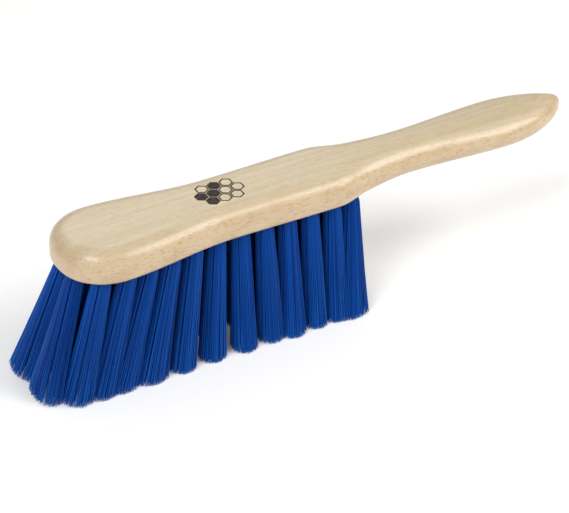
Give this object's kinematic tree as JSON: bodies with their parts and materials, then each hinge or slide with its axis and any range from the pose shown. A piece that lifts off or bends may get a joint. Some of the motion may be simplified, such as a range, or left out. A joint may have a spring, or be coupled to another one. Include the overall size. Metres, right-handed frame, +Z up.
{
  "type": "bee brush",
  "caption": "Long-handled hand brush for moving bees: one-piece lacquered beech stock with staggered, trimmed tufts of soft blue filament that fan out at the toe.",
  "frame": {"origin": "bottom centre of the bounding box, on the plane of the trimmed tips", "axes": "+X from the toe to the handle tip, +Y to the left seen from above, +Z up out of the top of the stock"},
  "size_m": [0.2976, 0.0532, 0.079],
  "materials": {
    "beech": "satin",
    "filament": "satin"
  },
  "bodies": {
    "root": {"stock": "beech", "tuft_left_01": "filament", "tuft_left_02": "filament", "tuft_left_03": "filament", "tuft_left_04": "filament", "tuft_left_05": "filament", "tuft_left_06": "filament", "tuft_left_07": "filament", "tuft_left_08": "filament", "tuft_left_09": "filament", "tuft_left_10": "filament", "tuft_left_11": "filament", "tuft_left_12": "filament", "tuft_middle_01": "filament", "tuft_middle_02": "filament", "tuft_middle_03": "filament", "tuft_middle_04": "filament", "tuft_middle_05": "filament", "tuft_middle_06": "filament", "tuft_middle_07": "filament", "tuft_middle_08": "filament", "tuft_middle_09": "filament", "tuft_middle_10": "filament", "tuft_nose_left": "filament", "tuft_nose_right": "filament", "tuft_right_01": "filament", "tuft_right_02": "filament", "tuft_right_03": "filament", "tuft_right_04": "filament", "tuft_right_05": "filament", "tuft_right_06": "filament", "tuft_right_07": "filament", "tuft_right_08": "filament", "tuft_right_09": "filament", "tuft_right_10": "filament", "tuft_right_11": "filament", "tuft_right_12": "filament", "tuft_toe_left_1": "filament", "tuft_toe_left_2": "filament", "tuft_toe_right_1": "filament", "tuft_toe_right_2": "filament"}
  },
  "joints": []
}
